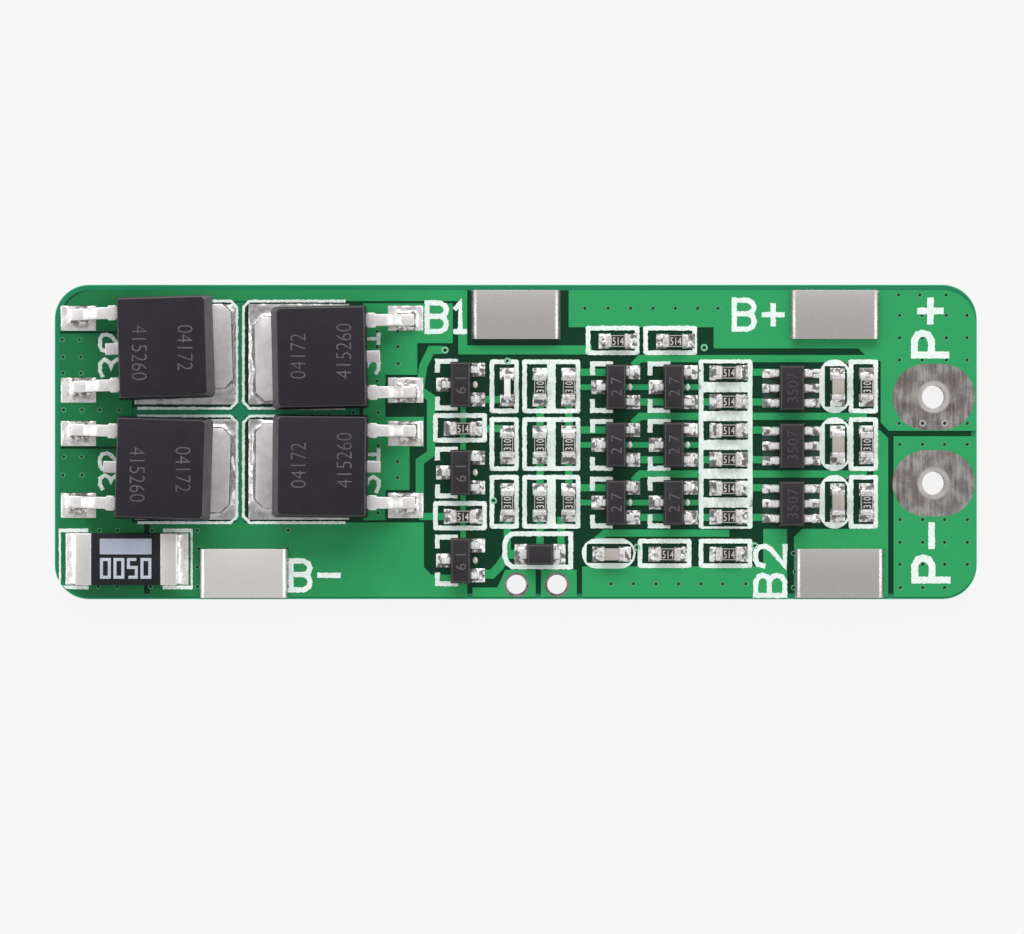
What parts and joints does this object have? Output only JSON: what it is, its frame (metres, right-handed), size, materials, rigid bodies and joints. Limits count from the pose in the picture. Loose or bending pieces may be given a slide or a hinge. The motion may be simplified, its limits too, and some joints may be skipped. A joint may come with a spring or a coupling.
{
  "type": "battery management board",
  "caption": "Small rectangular circuit board that guards a pack of cells in series, with power transistors, a shunt, nickel cell tabs and plated output holes.",
  "frame": {"origin": "middle of the underside of the board", "axes": "+X along the board towards the two output terminals, +Y across it, +Z out of the side that carries the parts"},
  "size_m": [0.059, 0.0202, 0.0035],
  "materials": {
    "laminate": "woven glass and epoxy, sawn edge",
    "copper": "bare copper, hidden",
    "solder_mask": "green lacquer",
    "ink": "white screen print",
    "tin": "hot-dipped tin, mottled",
    "mould": "black epoxy",
    "lead_metal": "tinned copper",
    "shunt_coat": "black coat",
    "nickel": "nickel, finely brushed",
    "resistor_ceramic": "white alumina",
    "resistor_coat": "black glaze",
    "capacitor_ceramic": "tan grey ceramic",
    "solder": "bright solder"
  },
  "bodies": {
    "root": {"balance_transistor_1_body": "mould", "balance_transistor_1_legs": "lead_metal", "balance_transistor_2_body": "mould", "balance_transistor_2_legs": "lead_metal", "balance_transistor_3_body": "mould", "balance_transistor_3_legs": "lead_metal", "balance_transistor_4_body": "mould", "balance_transistor_4_legs": "lead_metal", "balance_transistor_5_body": "mould", "balance_transistor_5_legs": "lead_metal", "balance_transistor_6_body": "mould", "balance_transistor_6_legs": "lead_metal", "board_core": "laminate", "capacitor_bodies": "capacitor_ceramic", "capacitor_ends": "lead_metal", "cell_tab_b1": "nickel", "cell_tab_b2": "nickel", "cell_tab_b_minus": "nickel", "cell_tab_b_plus": "nickel", "copper_bottom": "copper", "copper_top": "copper", "diode_body": "mould", "diode_leads": "lead_metal", "gate_transistor_1_body": "mould", "gate_transistor_1_legs": "lead_metal", "gate_transistor_2_body": "mould", "gate_transistor_2_legs": "lead_metal", "gate_transistor_3_body": "mould", "gate_transistor_3_legs": "lead_metal", "power_transistor_1_body": "mould", "power_transistor_1_legs": "lead_metal", "power_transistor_1_tab": "lead_metal", "power_transistor_2_body": "mould", "power_transistor_2_legs": "lead_metal", "power_transistor_2_tab": "lead_metal", "power_transistor_3_body": "mould", "power_transistor_3_legs": "lead_metal", "power_transistor_3_tab": "lead_metal", "power_transistor_4_body": "mould", "power_transistor_4_legs": "lead_metal", "power_transistor_4_tab": "lead_metal", "protection_chip_1_body": "mould", "protection_chip_1_legs": "lead_metal", "protection_chip_2_body": "mould", "protection_chip_2_legs": "lead_metal", "protection_chip_3_body": "mould", "protection_chip_3_legs": "lead_metal", "resistor_bodies": "resistor_ceramic", "resistor_coats": "resistor_coat", "resistor_ends": "lead_metal", "sensor_hole_eyelets": "tin", "shunt_element": "shunt_coat", "shunt_ends": "lead_metal", "silkscreen_top": "ink", "solder_joints": "solder", "solder_mask_bottom": "solder_mask", "solder_mask_top": "solder_mask", "terminal_p_minus": "tin", "terminal_p_plus": "tin"}
  },
  "joints": []
}
